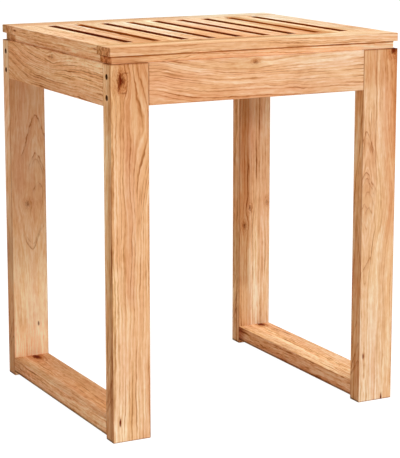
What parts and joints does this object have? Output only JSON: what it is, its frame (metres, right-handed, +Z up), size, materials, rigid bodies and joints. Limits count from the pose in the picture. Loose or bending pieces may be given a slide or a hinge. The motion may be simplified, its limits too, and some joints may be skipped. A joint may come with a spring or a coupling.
{
  "type": "shower stool",
  "caption": "Wooden shower stool with a slatted seat over a shadow gap, board legs, aprons all round and a low rail joining the legs on each side.",
  "frame": {"origin": "middle of the footprint, on the floor under the feet", "axes": "+Z up, the front with the long apron looks along -Y, +X to the right as seen from the front"},
  "size_m": [0.376, 0.32, 0.45],
  "materials": {
    "leg_wood": "solid hardwood with a visible wavy grain and a few knots, clear matt oil",
    "lower_rail_wood": "solid hardwood with a visible wavy grain and a few knots, clear matt oil",
    "side_apron_wood": "solid hardwood with a visible wavy grain and a few knots, clear matt oil",
    "long_apron_wood": "solid hardwood with a visible wavy grain and a few knots, clear matt oil",
    "seat_rail_wood": "solid hardwood with a visible wavy grain and a few knots, clear matt oil",
    "end_slat_wood": "solid hardwood with a visible wavy grain and a few knots, clear matt oil",
    "slat_wood": "solid hardwood with a visible wavy grain and a few knots, clear matt oil",
    "dowel_wood": "plain turned hardwood, glued in",
    "screw_steel": "stainless steel, satin, hexagon socket"
  },
  "bodies": {
    "root": {"leg_front_left": "leg_wood", "leg_front_right": "leg_wood", "leg_rear_left": "leg_wood", "leg_rear_right": "leg_wood", "lower_rail_left": "lower_rail_wood", "lower_rail_right": "lower_rail_wood", "apron_left": "side_apron_wood", "apron_right": "side_apron_wood", "apron_front": "long_apron_wood", "apron_rear": "long_apron_wood", "seat_rail_front": "seat_rail_wood", "seat_rail_rear": "seat_rail_wood", "seat_end_slat_left": "end_slat_wood", "seat_end_slat_right": "end_slat_wood", "seat_slat_1": "slat_wood", "seat_slat_2": "slat_wood", "seat_slat_3": "slat_wood", "seat_slat_4": "slat_wood", "seat_slat_5": "slat_wood", "seat_slat_6": "slat_wood", "seat_slat_7": "slat_wood", "seat_slat_8": "slat_wood", "frame_screws": "screw_steel", "seat_screws": "screw_steel", "lower_rail_dowels": "dowel_wood", "side_apron_dowels": "dowel_wood"}
  },
  "joints": []
}
